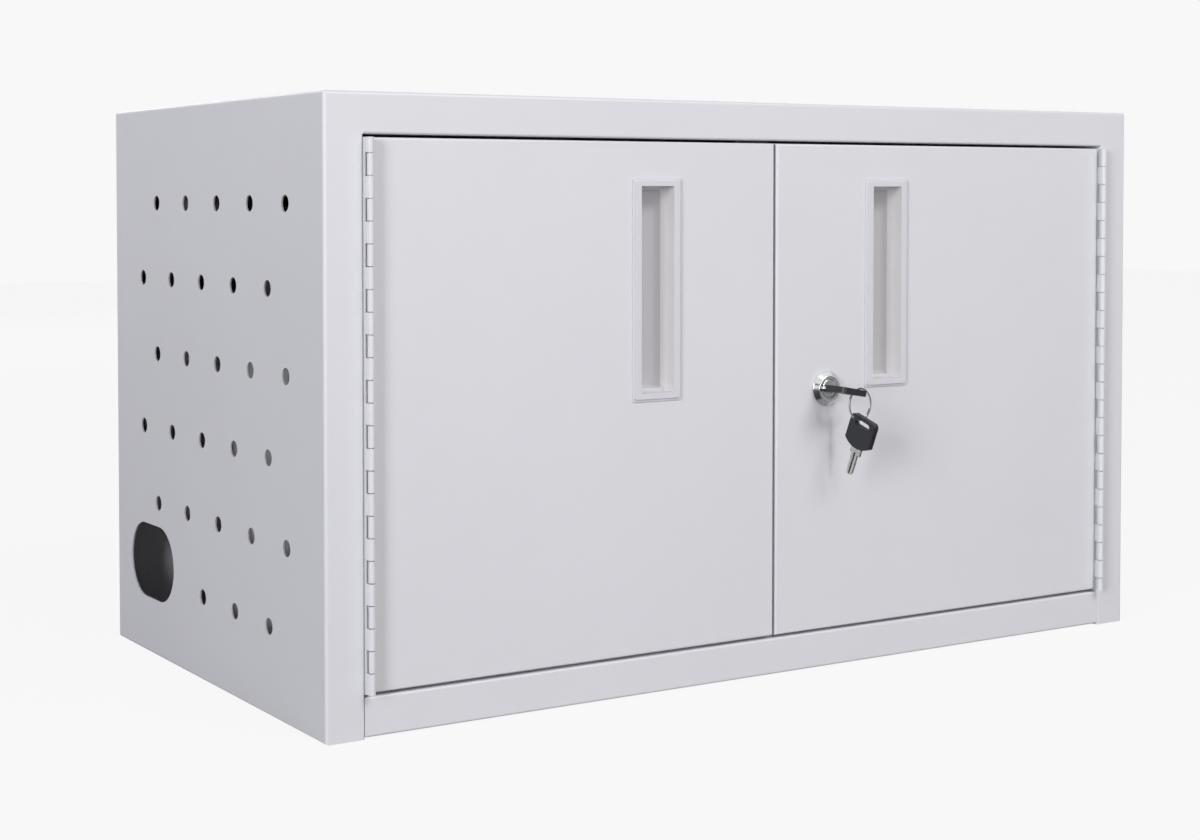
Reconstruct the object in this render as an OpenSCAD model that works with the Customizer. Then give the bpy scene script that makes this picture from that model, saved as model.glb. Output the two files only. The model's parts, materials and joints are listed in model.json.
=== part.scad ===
// Tablet charging box: a folded sheet-steel case with two doors, for a wall or a desk.
// The origin is the middle of the base, +Z is up and the doors face -Y.
// Inside the modules y is counted back from the front face, and place_at_front() sets it in place.

/* [Case] */
// Width over the side walls
case_w = 640; // [600:1:720]
// Depth from the front face to the rear edge
case_d = 325; // [315:1:360]
// Height over all
case_h = 366.5; // [355:0.5:420]
// Thickness of the folded sheet
sheet = 1.0; // [0.8:0.1:1.2]
// Outer radius of the case's front and top folds
fold_r = 2.2; // [1.5:0.1:3]
// Outer radius of the folds round the front opening
lip_fold_r = 1.4; // [1.3:0.1:1.8]
// Width of each front stile
stile_w = 25; // [22:1:30]
// Height of the top and bottom rails
rail_h = 24; // [22:1:30]
// Depth of the lips behind the front opening
lip_d = 24; // [24:1:28]
// Width of the rear flange that the back panel is welded to
rear_flange = 12; // [8:1:15]
// Front face to the front edge of the bottom sheet
base_setback = 8; // [6:1:12]
// Depth of the bottom rail's flange on the bottom sheet
rail_flange = 20; // [15:1:24]
// Gap beside a panel that slips into the case
panel_gap = 0.2; // [0.1:0.1:0.5]

/* [Vents and cable openings] */
// Diameter of a vent hole
vent_dia = 10; // [8:0.5:12]
// Distance between vent holes, along and across
vent_pitch = 50; // [48:1:54]
// Front face to the nearest vent hole
vent_front = 50; // [48:1:54]
// Height of the lowest row of vent holes
vent_low = 53.5; // [50:0.5:60]
// Number of rows of vent holes
vent_rows = 6; // [4:1:6]
// Width of the cable opening
cable_w = 76; // [60:1:80]
// Height of the cable opening
cable_h = 50; // [40:1:54]
// Front face to the middle of the cable opening
cable_y = 262; // [260:0.5:270]
// Height of the middle of the cable opening
cable_z = 62.5; // [60:0.5:70]

/* [Wall fixing] */
// Distance between the wall-fixing holes, side to side
wall_hole_x = 406.4; // [380:0.1:420]
// Distance between the wall-fixing holes, up and down
wall_hole_z = 200; // [160:1:220]
// Height of the middle of the wall-fixing holes
wall_hole_mid = 190; // [180:1:210]
// Diameter of a wall-fixing hole
wall_hole_dia = 8; // [6:0.5:10]

/* [Doors] */
// Gap above and below the doors
door_gap = 1.8; // [1.8:0.1:3]
// Gap between the two doors
seam_gap = 2; // [1.5:0.1:3]
// Gap between a door's hinge edge and the stile
hinge_gap = 2.5; // [2.3:0.1:3]
// Depth of a door pan
door_d = 22; // [21:0.5:23]
// Width of the door pan's inner return
door_return = 10; // [8:1:12]
// Outer radius of the door's folds
door_fold_r = 1.6; // [1:0.1:2]

/* [Hinges] */
// Length of one hinge knuckle
knuckle_pitch = 12.75; // [12:0.05:14]
// Outer diameter of the hinge barrel
barrel_dia = 4.0; // [3.8:0.1:4.2]
// Diameter of the hinge pin
hinge_pin_dia = 2.3; // [2:0.1:2.4]
// Clearance round the hinge pin, on the radius
hinge_pin_clear = 0.05; // [0.03:0.01:0.08]
// Gap between two knuckles
knuckle_gap = 0.6; // [0.3:0.1:0.6]
// Thickness of a hinge leaf
leaf_t = 0.9; // [0.7:0.1:1]
// Depth of a hinge leaf behind the front face
leaf_d = 16; // [12:1:18]
// Front face to the hinge axis, forwards
hinge_out = 4.6; // [4.4:0.1:5]
// Edge of the opening to the hinge axis, inwards
hinge_in = 2.2; // [2.1:0.1:2.4]
// How far the frame leaf's front edge stands out of the front face
leaf_out = 1.6; // [0.5:0.1:1.8]
// How far the door leaf's front edge lies behind the front face
leaf_back = 0.4; // [0:0.1:1]

/* [Pulls] */
// Middle of the case to the middle of a pull
pull_x = 93; // [85:1:110]
// Height of the middle of a pull
pull_z = 250; // [240:1:255]
// Width of the pull's frame
pull_w = 36.5; // [34:0.5:40]
// Height of the pull's frame
pull_h = 137; // [120:1:140]
// Width of the finger cavity
grip_w = 24.5; // [22:0.5:25]
// Height of the finger cavity
grip_h = 127; // [110:1:128]
// Depth of the finger cavity behind the frame's front
grip_d = 14; // [12:0.5:15]
// Radius along the back of the finger cavity
grip_r = 7; // [4:0.5:8]
// How far the frame stands out from the door
pull_proud = 1.8; // [1.4:0.1:2.2]
// Thickness of the frame's thin outer edge
pull_edge = 0.8; // [0.6:0.1:1]
// Width of the frame's thin outer edge
pull_step = 1.5; // [1:0.1:2]
// Wall of the moulded cup
pull_wall = 1.5; // [1.2:0.1:2]

/* [Lock] */
// Middle of the case to the lock
lock_x = 42; // [40:1:46]
// Height of the lock
lock_z = 182.5; // [180:0.5:190]
// Diameter of the lock's flange
lock_flange_dia = 23; // [21:0.5:24]
// How far the lock's face stands out from the door
lock_proud = 3.8; // [3:0.1:4.5]
// Diameter of the lock's body
lock_body_dia = 19; // [18:0.5:20]
// Width of the lock's body across its flats
lock_flats = 16.4; // [15:0.1:17]
// Depth of the lock's body behind the door's face
lock_body_d = 12.8; // [12.6:0.1:13]
// Diameter of the turning plug
plug_dia = 12; // [11:0.5:13]
// Thickness of the lock nut
nut_t = 3; // [2.5:0.1:4]
// Nut size across flats
nut_af = 24; // [22:0.5:25]
// Thickness of the cam
cam_t = 2; // [1.5:0.1:2.2]
// Radius from the lock's axis to the cam's pins
cam_r = 11; // [10.5:0.5:12]
// Diameter of a cam pin
cam_pin_dia = 4; // [3.5:0.1:4.2]
// Turn of the key between open and locked
lock_turn = 90; // [80:1:90]

/* [Latch rods and slide bolts] */
// Diameter of a latch rod
rod_dia = 5; // [4:0.1:5.4]
// Clearance round a latch rod in its holes, on the radius
rod_clear = 0.3; // [0.2:0.1:0.5]
// How far an open rod's tip stands out of the door's edge
rod_tip_out = 0.3; // [0.3:0.1:1.5]
// Thickness of a rod's flat end
rod_plate_t = 2.4; // [2:0.1:2.6]
// Lock axis to the rod guides, up and down
rod_guide_z = 80; // [60:1:100]
// Middle of the case to the slide bolts, on the left door
bolt_x = -22; // [-24:1:-21]
// Width of a slide bolt
bolt_w = 12; // [10:1:13]
// Thickness of a slide bolt
bolt_t = 3; // [2:0.1:3.4]
// Length of a slide bolt
bolt_len = 75; // [70:1:90]
// Travel of a slide bolt
bolt_travel = 12; // [8:1:14]
// Clearance round a latch rod in the case's lips, on the radius
rod_lip_clear = 2.0; // [1.8:0.1:2.2]
// Clearance round a slide bolt in the case's lips
bolt_lip_clear = 0.7; // [0.5:0.1:1]

/* [Keys] */
// Width of a key's grip
bow_w = 21; // [19:0.5:23]
// Length of a key's grip
bow_len = 21; // [20:0.5:23]
// Thickness of a key's grip
bow_t = 4.0; // [3:0.1:4]
// Length of the slot in a key's grip
bow_slot_w = 12.5; // [12:0.1:13]
// Height of the slot in a key's grip
bow_slot_h = 4.0; // [4:0.1:4.4]
// Material between the slot and the end of the grip
bow_strip = 2.2; // [2:0.1:2.4]
// Width of the key's blade
blade_w = 5.0; // [4.6:0.1:5.6]
// Thickness of the key's blade
blade_t = 1.6; // [1.4:0.1:1.9]
// Length of the blade that goes into the lock
blade_len = 14; // [12:0.5:14]
// Length of the blade's wide shoulder
shoulder_len = 4.5; // [3:0.5:6]
// Turn of the inserted key from level
key_roll = 10.5; // [8:0.1:12]
// Outer diameter of the key ring
ring_dia = 21.2; // [20.8:0.1:21.8]
// Thickness of the ring's band, inside to outside
ring_t = 0.9; // [0.8:0.1:1.1]
// Width of the ring's band
ring_band = 1.1; // [0.8:0.1:1.3]

/* [Tablet rack] */
// Number of tablet bays
bays = 12; // [8:1:14]
// Width of one bay, divider to divider
bay_pitch = 48; // [36:1:48]
// Thickness of a divider
divider_t = 1.2; // [1:0.1:1.6]
// Height of a divider above the tray
divider_h = 190; // [150:1:230]
// Depth of a divider
divider_d = 166; // [140:1:166]
// Front face to the tray's front edge
tray_front = 26; // [25.5:0.5:30]
// Height of the tray's top above the base
tray_top = 25.2; // [25:0.1:32]

/* [Rear compartment] */
// Front face to the partition panel
partition_y = 207; // [206:0.5:208]
// Width of a cable slot in the partition
slot_w = 110; // [90:1:120]
// Height of a cable slot in the partition
slot_h = 36; // [30:1:40]
// Height of the middle of the cable slots
slot_z = 285; // [270:1:300]
// Wall of the slot's edging
grommet_t = 2; // [1.5:0.1:2.5]
// Length of the power strip's housing
strip_len = 530; // [500:1:540]
// Height of the power strip's housing
strip_h = 44; // [42:1:50]
// Depth of the power strip's housing
strip_d = 38; // [34:1:45]
// Wall of the power strip's housing
strip_wall = 1.5; // [1:0.1:2]
// Height of the middle of the power strip
strip_z = 172; // [160:1:200]
// Number of outlets
outlets = 12; // [8:1:12]
// Distance between outlets
outlet_pitch = 36; // [33:1:36]

/* [Hidden] */
$fn = 48;

// Colours, as the finished surfaces look
steel_grey = "#d6d6da";
pull_grey = "#d2d1d6";
zinc = "#b9bcc0";
chrome = "#d9dadc";
black = "#26272b";
dark_steel = "#8d8f94";

// A small overshoot for cuts
cut = 0.5;

// Front opening and doors
open_x = case_w / 2 - stile_w;
open_low = rail_h;
open_high = case_h - rail_h;
open_mid = (open_low + open_high) / 2;
door_in = seam_gap / 2;
door_out = open_x - hinge_gap;
door_w = door_out - door_in;
door_low = open_low + door_gap;
door_high = open_high - door_gap;
door_h = door_high - door_low;

// Inner faces of the case
wall_x = case_w / 2 - sheet;
roof_z = case_h - sheet;
floor_top = sheet;
back_y = case_d - 2 * sheet;

// Hinges
hinge_x = open_x - hinge_in;
hinge_y = -hinge_out;
pin_hole_r = hinge_pin_dia / 2 + hinge_pin_clear;
knuckles = ceil(door_h / knuckle_pitch);

// Pulls
pull_cup_w = grip_w + 2 * pull_wall;
pull_cup_h = grip_h + 2 * pull_wall;
pull_hole_gap = 0.25;

// Lock: places along its axis, counted back from the door's face
flange_rim = 1.0;
plug_front = -lock_proud + 0.2;
plug_clear = 0.05;
cam_front = lock_body_d + 0.2;
cam_back = cam_front + cam_t;
cam_arm = cam_pin_dia / 2 + 1.6;
drive_w = 7;
drive_gap = 0.05;
cam_screw_r = 3.5;
cam_screw_t = 2.0;
cam_thread_r = 1.6;
keyway_w = blade_w + 0.5;
keyway_t = blade_t + 0.4;
rod_y = cam_back + 0.5 + rod_plate_t / 2;
cam_pin_back = rod_y + rod_plate_t / 2 + 0.4;

// Latch rods: the pins swing evenly to both sides of level
pin_swing = lock_turn / 2;
rod_travel = 2 * cam_r * sin(pin_swing);
rod_x = cam_r * (1 + cos(pin_swing)) / 2;
rod_slot_w = cam_pin_dia + cam_r * (1 - cos(pin_swing)) + 0.6;
rod_slot_h = cam_pin_dia + 0.9;
rod_eye_w = rod_slot_w + 3.2;
rod_eye_low = -rod_travel / 2 - rod_slot_h / 2 - 1.8;
rod_root = cam_r + cam_arm + 3;
rod_cone = 1.8;
rod_cone_tip_r = 1.1;
guide_foot = 18;
rod_end = door_high + rod_tip_out - lock_z;
rod_end_low = lock_z - (door_low - rod_tip_out);

// Slide bolts
bolt_front = 8;
bolt_gap = 0.2;
bolt_end = door_high - 0.4;
bolt_tab_out = 8;
bolt_tab_h = 10;
bolt_tab_rise = 38;
bolt_tab_drop = bolt_len - bolt_tab_rise;
guide_h = 10;
guide_drops = [11, 54];

// Keys
plug_to_slot = shoulder_len + bow_len - bow_strip - bow_slot_h / 2;
tang_len = 8;
shoulder_out = 1.9;
bow_corner_r = 3;
bow_chin_r = 16;
ring_out_r = ring_dia / 2;
ring_in_r = ring_out_r - ring_t;
ring_yaw = 8;
spare_yaw = -84;
spare_tilt = 21;
ring_shift = [7, 0, -ring_in_r + 1.1];
ring_seat = 0.6;
spare_slot_shift = (bow_slot_w - bow_slot_h) / 2;
spare_hang = bow_strip + ring_t / 2 + ring_seat;

// Rack
rack_w = bays * bay_pitch;
tray_back = partition_y - 2;
divider_front = tray_back - 1 - divider_d - 5;
divider_tab = 20;
divider_tab_inset = 25;
divider_tab_gap = 0.3;
divider_r = 40;

// Rear compartment
bracket_t = 1.2;
bracket_wall_leg = 11;
bracket_front_leg = 39;
bracket_foot_z = 10;
bracket_top_gap = 15;
partition_screw_x = open_x - 9;
partition_screw_drop = 34;
partition_screw_low = 50;
partition_screw_z = [slot_z - partition_screw_low, roof_z - partition_screw_drop];
slot_count = 4;
slot_pitch = 144;
stud_r = 2;
stud_len = 10;
stud_x = strip_len / 2 + 13;
strip_bracket_t = 1.5;
strip_bracket_in = 20;
strip_bracket_out = 22;
strip_back = back_y - strip_bracket_t;
strip_front = strip_back - strip_d;
outlet_w = 29;
outlet_d = 20;
outlet_slot_d = 12;
bus_pitch = 10;
outlet_inset = 43;
first_outlet = -strip_len / 2 + outlet_inset;
outlet_rim = 1.5;
cap_ring = 8;
inlet_w = 24;
inlet_h = 16;
inlet_d = 22;
inlet_flange = 4;
rocker_w = 13;
rocker_h = 21;
rocker_rim = 3.5;
collar_r = 7;
switch_zone_low = first_outlet + (outlets - 1) * outlet_pitch + outlet_w / 2 + outlet_rim;
switch_zone_high = strip_len / 2 - cap_ring;
switch_gap = (switch_zone_high - switch_zone_low - rocker_w - 2 * rocker_rim - 2 * collar_r) / 3;
rocker_x = switch_zone_low + switch_gap + rocker_w / 2 + rocker_rim;
breaker_x = switch_zone_high - switch_gap - collar_r;
rocker_tilt = 12;

// Plain helpers

module place_at_front() translate([0, -case_d / 2, 0]) children();

module y_cyl(r, y0, y1, x = 0, z = 0) {
    translate([x, y0, z]) rotate([-90, 0, 0]) cylinder(r = r, h = y1 - y0);
}

module block(x0, x1, y0, y1, z0, z1) {
    translate([x0, y0, z0]) cube([x1 - x0, y1 - y0, z1 - z0]);
}

// Extrude a drawing of the (y, z) plane along x
module along_x(x0, x1) {
    translate([x0, 0, 0]) rotate([90, 0, 90]) linear_extrude(x1 - x0) children();
}

// Extrude a drawing of the (x, z) plane back along y
module along_y(y0, y1) {
    translate([0, y1, 0]) rotate([90, 0, 0]) linear_extrude(y1 - y0) children();
}

module rounded(w, h, r) {
    square([w - 2 * r, h], center = true);
    square([w, h - 2 * r], center = true);
    for (sx = [-1, 1], sy = [-1, 1])
        translate([sx * (w / 2 - r), sy * (h / 2 - r)]) circle(r);
}

module obround(w, h) {
    square([w - h, h], center = true);
    for (s = [-1, 1]) translate([s * (w - h) / 2, 0]) circle(h / 2);
}

// A corner's waste: what a fold of radius r takes off a square corner at the origin
module fold_waste(r) {
    difference() {
        translate([-cut, -cut]) square(r + cut);
        translate([r, r]) circle(r);
    }
}

// A box from x0 to x1, 0 to d and z0 to z1 whose four front edges are rounded
module pan(x0, x1, d, z0, z1, r) {
    difference() {
        block(x0, x1, 0, d, z0, z1);
        translate([x0, 0, z0 - cut]) linear_extrude(z1 - z0 + 2 * cut) fold_waste(r);
        translate([x1, 0, z0 - cut]) mirror([1, 0, 0]) linear_extrude(z1 - z0 + 2 * cut)
            fold_waste(r);
        translate([0, 0, z0]) along_x(x0 - cut, x1 + cut) fold_waste(r);
        translate([0, 0, z1]) mirror([0, 0, 1]) along_x(x0 - cut, x1 + cut) fold_waste(r);
    }
}

// Case

module case_solid(inset, r) {
    hw = case_w / 2 - inset;
    top = case_h - inset;
    difference() {
        block(-hw, hw, inset, case_d - inset, inset, top);
        for (s = [0, 1]) mirror([s, 0, 0]) {
            translate([-hw, inset, inset - cut]) linear_extrude(top + 2 * cut) fold_waste(r);
            translate([-hw, 0, top]) mirror([0, 0, 1]) along_y(-cut, case_d + cut) fold_waste(r);
            translate([-hw, 0, inset]) along_y(-cut, case_d + cut) fold_waste(r);
        }
        translate([0, inset, top]) mirror([0, 0, 1]) along_x(-hw - cut, hw + cut) fold_waste(r);
    }
}

module vents() {
    for (row = [0:vent_rows - 1], k = [0:4]) {
        staggered = (vent_rows - 1 - row) % 2 == 1;
        y = vent_front + k * vent_pitch + (staggered ? vent_pitch / 2 : 0);
        z = vent_low + row * vent_pitch;
        clear_of_cable = abs(y - cable_y) > cable_w / 2 + vent_dia
            || abs(z - cable_z) > cable_h / 2 + vent_dia;
        if (clear_of_cable)
            translate([-case_w / 2 - cut, y, z]) rotate([0, 90, 0])
                cylinder(d = vent_dia, h = case_w + 2 * cut);
    }
}

module cable_openings() {
    translate([0, cable_y, cable_z]) along_x(-case_w / 2 - cut, case_w / 2 + cut)
        obround(cable_w, cable_h);
}

// A slide bolt's outline with a gap round it
module bolt_section(gap, z0, z1) {
    block(bolt_x - bolt_w / 2 - gap, bolt_x + bolt_w / 2 + gap, bolt_front - gap,
        bolt_front + bolt_t + gap, z0, z1);
}

// Where a latch rod and a slide bolt go into a lip: a round hole for the lower rod,
// a notch from the lip's rear edge for the upper one
module latch_holes(z0, z1, side) {
    reach = rod_dia / 2 + rod_lip_clear;
    x = lock_x + side * rod_x;
    if (side > 0) block(x - reach, x + reach, rod_y - reach, lip_d + cut, z0, z1);
    else translate([x, rod_y, z0]) cylinder(r = reach, h = z1 - z0);
    bolt_section(bolt_lip_clear, z0, z1);
}

module outer_wrap() color(steel_grey) place_at_front() {
    difference() {
        union() {
            difference() {
                case_solid(0, fold_r);
                case_solid(sheet, fold_r - sheet);
                block(-open_x, open_x, -cut, base_setback, -cut, open_high);
                block(rear_flange - case_w / 2, case_w / 2 - rear_flange,
                    case_d - sheet - cut, case_d + cut, rear_flange, case_h - rear_flange);
            }
            for (s = [0, 1]) mirror([s, 0, 0])
                block(-open_x - sheet, -open_x, 0, lip_d, open_low, open_high + sheet);
            block(-open_x - sheet, open_x + sheet, 0, lip_d, open_high, open_high + sheet);
        }
        for (s = [0, 1]) mirror([s, 0, 0])
            translate([-open_x, 0, -cut]) mirror([1, 0, 0]) linear_extrude(open_high + cut)
                fold_waste(lip_fold_r);
        translate([0, 0, open_high]) along_x(-open_x, open_x) fold_waste(lip_fold_r);
        vents();
        cable_openings();
        latch_holes(open_high - cut, open_high + sheet + cut, 1);
    }
}

// The rail closes the opening below, and stands on the bottom sheet
module bottom_rail() color(steel_grey) place_at_front() {
    side = open_x - 0.1;
    difference() {
        union() {
            block(-side, side, 0, sheet, floor_top, open_low);
            block(-side, side, 0, lip_d, open_low - sheet, open_low);
            block(-side, side, 0, rail_flange, floor_top, floor_top + sheet);
        }
        translate([0, 0, open_low]) mirror([0, 0, 1]) along_x(-side - cut, side + cut)
            fold_waste(lip_fold_r);
        translate([0, 0, floor_top]) along_x(-side - cut, side + cut) fold_waste(lip_fold_r);
        latch_holes(open_low - sheet - cut, open_low + cut, -1);
    }
}

module back_panel() color(steel_grey) place_at_front() {
    side = wall_x - panel_gap;
    difference() {
        block(-side, side, back_y, back_y + sheet, floor_top + panel_gap, roof_z - panel_gap);
        for (sx = [-1, 1], sz = [-1, 1])
            y_cyl(wall_hole_dia / 2, back_y - cut, back_y + sheet + cut,
                sx * wall_hole_x / 2, wall_hole_mid + sz * wall_hole_z / 2);
    }
    for (sx = [-1, 1], sz = [-1, 1])
        y_cyl(stud_r, back_y - stud_len, back_y + sheet / 2, sx * stud_x,
            strip_z + sz * strip_h / 4);
}

// The stop hangs behind the seam, from the top lip
stop_x = 13;
stop_drop = 20;
bumper_r = 4;
bumper_x = door_in + 6;

module door_stop() color(steel_grey) place_at_front() {
    block(-stop_x, stop_x, lip_d, lip_d + sheet, open_high - stop_drop, open_high + 2 * sheet);
    block(-stop_x, stop_x, lip_d - 12, lip_d + sheet, open_high + sheet, open_high + 2 * sheet);
}

module door_bumpers() color(black) place_at_front() {
    for (s = [-1, 1]) y_cyl(bumper_r, door_d + 0.3, lip_d, s * bumper_x, open_high - 10);
}

// Doors: drawn as the right one, and mirrored for the left one

module door_shell() {
    difference() {
        pan(door_in, door_out, door_d, door_low, door_high, door_fold_r);
        block(door_in + sheet, door_out - sheet, sheet, door_d - sheet, door_low + sheet,
            door_high - sheet);
        block(door_in + door_return, door_out - door_return, sheet, door_d + cut,
            door_low + door_return, door_high - door_return);
        translate([pull_x, 0, pull_z]) along_y(-cut, sheet + cut)
            square([pull_cup_w + 2 * pull_hole_gap, pull_cup_h + 2 * pull_hole_gap],
                center = true);
    }
}

module rod_hole(side, z0, z1) {
    translate([lock_x + side * rod_x, rod_y, z0])
        cylinder(r = rod_dia / 2 + rod_clear, h = z1 - z0);
}

module left_door() color(steel_grey) place_at_front() difference() {
    mirror([1, 0, 0]) door_shell();
    bolt_section(bolt_gap, door_low - cut, door_low + sheet + cut);
    bolt_section(bolt_gap, door_high - sheet - cut, door_high + cut);
}

module right_door() color(steel_grey) place_at_front() difference() {
    door_shell();
    translate([lock_x, 0, lock_z]) along_y(-cut, sheet + cut) lock_section(0.1);
    rod_hole(1, door_high - sheet - cut, door_high + cut);
    rod_hole(-1, door_low - cut, door_low + sheet + cut);
}

// Pulls

// The cup's shape between two insets: rounded along its back edges
module pull_cup(w, h, y0, y1, r) {
    intersection() {
        translate([0, 0, -h / 2]) linear_extrude(h) difference() {
            translate([-w / 2, y0]) square([w, y1 - y0]);
            for (s = [0, 1]) mirror([s, 0]) translate([-w / 2, y1]) mirror([0, 1]) fold_waste(r);
        }
        along_x(-w / 2, w / 2) difference() {
            translate([y0, -h / 2]) square([y1 - y0, h]);
            for (s = [0, 1]) mirror([0, s]) translate([y1, -h / 2]) mirror([1, 0]) fold_waste(r);
        }
    }
}

module pull() translate([pull_x, 0, pull_z]) difference() {
    union() {
        along_y(-pull_edge, 0) rounded(pull_w, pull_h, 1.5);
        along_y(-pull_proud, -pull_edge)
            rounded(pull_w - 2 * pull_step, pull_h - 2 * pull_step, 1.5);
        pull_cup(pull_cup_w, pull_cup_h, 0, grip_d - pull_proud + pull_wall, grip_r + pull_wall);
        // Snap tabs behind the sheet
        for (sx = [-1, 1], sz = [-1, 1])
            translate([sx * (pull_cup_w / 2 + 0.4), sheet + 1.55, sz * grip_h / 3])
                cube([1.8, 3, 12], center = true);
    }
    pull_cup(grip_w, grip_h, -pull_proud - cut, grip_d - pull_proud, grip_r);
}

module left_pull() color(pull_grey) place_at_front() mirror([1, 0, 0]) pull();

module right_pull() color(pull_grey) place_at_front() pull();

// Continuous hinges: drawn as the right one; the count starts at one end

module knuckle_at(k, from_top) {
    z0 = from_top ? door_high - (k + 1) * knuckle_pitch : door_low + k * knuckle_pitch;
    z1 = z0 + knuckle_pitch;
    low = max(z0 + knuckle_gap / 2, door_low);
    high = min(z1 - knuckle_gap / 2, door_high);
    translate([0, 0, low]) linear_extrude(high - low) children();
}

module hinge_leaf(first, near, front, from_top) {
    for (k = [first:2:knuckles - 1]) knuckle_at(k, from_top) {
        difference() {
            translate([hinge_x, hinge_y]) circle(d = barrel_dia);
            translate([hinge_x, hinge_y]) circle(pin_hole_r);
        }
        difference() {
            translate([near, hinge_y]) square([leaf_t, front - hinge_y + 0.01]);
            translate([hinge_x, hinge_y]) circle(pin_hole_r + 0.15);
        }
    }
    translate([near, front, door_low]) cube([leaf_t, leaf_d - front, door_h]);
}

// The frame leaf lies on the stile's lip, and the door leaf on the door's edge
module frame_leaf(from_top) hinge_leaf(0, open_x - leaf_t, -leaf_out, from_top);

module door_leaf(from_top) hinge_leaf(1, door_out, leaf_back, from_top);

module hinge_pin() {
    translate([hinge_x, hinge_y, door_low]) cylinder(d = hinge_pin_dia, h = door_h);
}

module left_hinge_frame_leaf() color(steel_grey) place_at_front() mirror([1, 0, 0])
    frame_leaf(false);

module left_hinge_door_leaf() color(steel_grey) place_at_front() mirror([1, 0, 0])
    door_leaf(false);

module left_hinge_pin() color(dark_steel) place_at_front() mirror([1, 0, 0]) hinge_pin();

module right_hinge_frame_leaf() color(steel_grey) place_at_front() frame_leaf(true);

module right_hinge_door_leaf() color(steel_grey) place_at_front() door_leaf(true);

module right_hinge_pin() color(dark_steel) place_at_front() hinge_pin();

// Lock

module lock_section(gap) intersection() {
    circle(d = lock_body_dia + 2 * gap);
    square([lock_body_dia + 4 * gap, lock_flats + 2 * gap], center = true);
}

module at_lock() place_at_front() translate([lock_x, 0, lock_z]) children();

module lock_body() color(chrome) at_lock() difference() {
    union() {
        along_y(-0.01, lock_body_d) lock_section(0);
        y_cyl(lock_flange_dia / 2, -flange_rim, 0);
        translate([0, -lock_proud, 0]) rotate([-90, 0, 0])
            cylinder(r1 = lock_flange_dia / 2 - 3.2, r2 = lock_flange_dia / 2,
                h = lock_proud - flange_rim);
    }
    y_cyl(plug_dia / 2 + plug_clear, -lock_proud - cut, lock_body_d + cut);
}

module lock_nut() color(zinc) at_lock() along_y(sheet, sheet + nut_t) difference() {
    circle(d = nut_af / cos(30), $fn = 6);
    lock_section(0.1);
}

// The plug and cam turn with the key; the keyway lies as the key does at rest
module lock_plug() color(chrome) at_lock() difference() {
    union() {
        y_cyl(plug_dia / 2, plug_front, cam_front);
        translate([-drive_w / 2, cam_front - 0.01, -drive_w / 2])
            cube([drive_w, cam_t + 0.01, drive_w]);
    }
    rotate([0, key_roll, 0]) block(-keyway_w / 2, keyway_w / 2, plug_front - cut,
        plug_front + blade_len + 0.3, -keyway_t / 2, keyway_t / 2);
    y_cyl(cam_thread_r + 0.05, plug_front + blade_len + 0.8, cam_back + cut);
}

module lock_cam() color(zinc) at_lock() {
    rotate([0, pin_swing, 0]) {
        difference() {
            along_y(cam_front, cam_back) obround(2 * (cam_r + cam_arm), 2 * cam_arm + 3);
            rotate([0, -pin_swing, 0]) block(-drive_w / 2 - drive_gap, drive_w / 2 + drive_gap,
                cam_front - cut, cam_back + cut, -drive_w / 2 - drive_gap,
                drive_w / 2 + drive_gap);
        }
        for (s = [-1, 1]) y_cyl(cam_pin_dia / 2, cam_back - 0.5, cam_pin_back, s * cam_r);
    }
}

module cam_screw() color(zinc) at_lock() {
    y_cyl(cam_screw_r, cam_back, cam_back + cam_screw_t);
    y_cyl(cam_thread_r, plug_front + blade_len + 1.2, cam_back);
}

// One latch rod, drawn as the upper one about the lock's axis
module latch_rod(end) {
    difference() {
        along_y(rod_y - rod_plate_t / 2, rod_y + rod_plate_t / 2)
            translate([rod_x - rod_eye_w / 2, rod_eye_low])
                square([rod_eye_w, rod_root + 3 - rod_eye_low]);
        translate([rod_x, 0, -rod_travel / 2])
            along_y(rod_y - rod_plate_t, rod_y + rod_plate_t)
                square([rod_slot_w, rod_slot_h], center = true);
    }
    translate([rod_x, rod_y, rod_root]) cylinder(d = rod_dia, h = end - rod_cone - rod_root);
    translate([rod_x, rod_y, end - rod_cone])
        cylinder(r1 = rod_dia / 2, r2 = rod_cone_tip_r, h = rod_cone);
}

module upper_latch_rod() color(zinc) at_lock() latch_rod(rod_end);

module lower_latch_rod() color(zinc) at_lock() rotate([0, 180, 0]) latch_rod(rod_end_low);

module latch_rod_guides() color(steel_grey) at_lock() {
    for (s = [0, 180]) rotate([0, s, 0]) difference() {
        union() {
            block(rod_x - guide_foot / 2, rod_x + guide_foot / 2, sheet, sheet + 1.2,
                rod_guide_z - 7, rod_guide_z + 7);
            block(rod_x - 5.5, rod_x + 5.5, sheet, rod_y + rod_dia / 2 + 1.6,
                rod_guide_z - 0.75, rod_guide_z + 0.75);
        }
        translate([rod_x, rod_y, rod_guide_z - 2])
            cylinder(r = rod_dia / 2 + rod_clear, h = 4);
    }
}

// Keys: the blade points along +y from the plug's face, the grip lies flat in the xy plane

// What of the blade sits in the grip: the shoulder's end and the tang
module key_root() {
    block(-blade_w / 2 - shoulder_out, blade_w / 2 + shoulder_out, -shoulder_len - 1,
        -shoulder_len + 0.5, -blade_t / 2, blade_t / 2);
    block(-blade_w / 2, blade_w / 2, -shoulder_len - tang_len, -shoulder_len, -blade_t / 2,
        blade_t / 2);
}

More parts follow.
